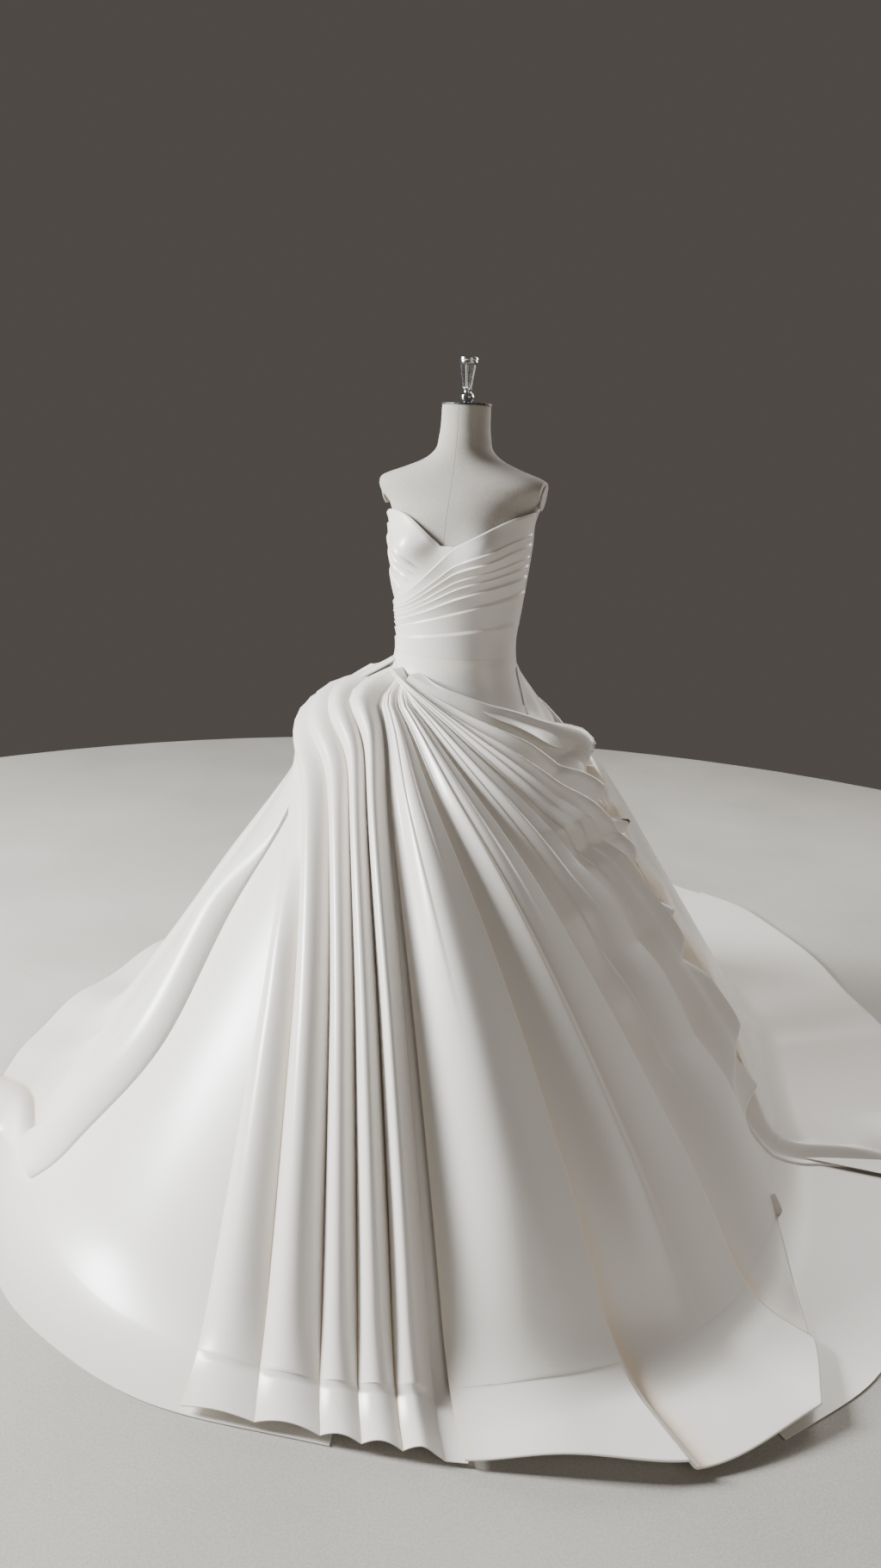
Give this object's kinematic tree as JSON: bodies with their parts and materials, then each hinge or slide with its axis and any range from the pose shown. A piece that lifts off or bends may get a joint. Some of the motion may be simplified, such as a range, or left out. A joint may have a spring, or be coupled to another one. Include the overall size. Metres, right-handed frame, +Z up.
{
  "type": "wedding dress on a dress form",
  "caption": "Strapless ivory satin ball gown with a crossed pleated bodice, a draped skirt and a train, on a limbless dress form.",
  "frame": {"origin": "on the floor under the middle of the form's base plate", "axes": "+Z up, the wearer's front faces -Y, the wearer's left is +X"},
  "size_m": [2.1997, 2.7942, 1.6566],
  "materials": {
    "satin": "satin",
    "linen": "matte",
    "chrome": "polished",
    "black": "satin"
  },
  "bodies": {
    "root": {"bodice_cup_right": "satin", "bodice_cross_left": "satin", "bodice_waist_wrap": "satin", "bodice_yoke": "satin", "bodice_back_left": "satin", "bodice_back_right": "satin", "skirt_front_drape": "satin", "skirt_hip_folds": "satin", "skirt_side_swag": "satin", "skirt_side_panel": "satin", "skirt_right_panel": "satin", "skirt_back_left": "satin", "skirt_back_right": "satin", "form_torso": "linen", "form_arm_plate_left": "linen", "form_arm_plate_right": "linen", "form_finial": "chrome", "stand_pole": "chrome", "form_neck_cap": "black", "stand_base": "black"}
  },
  "joints": []
}
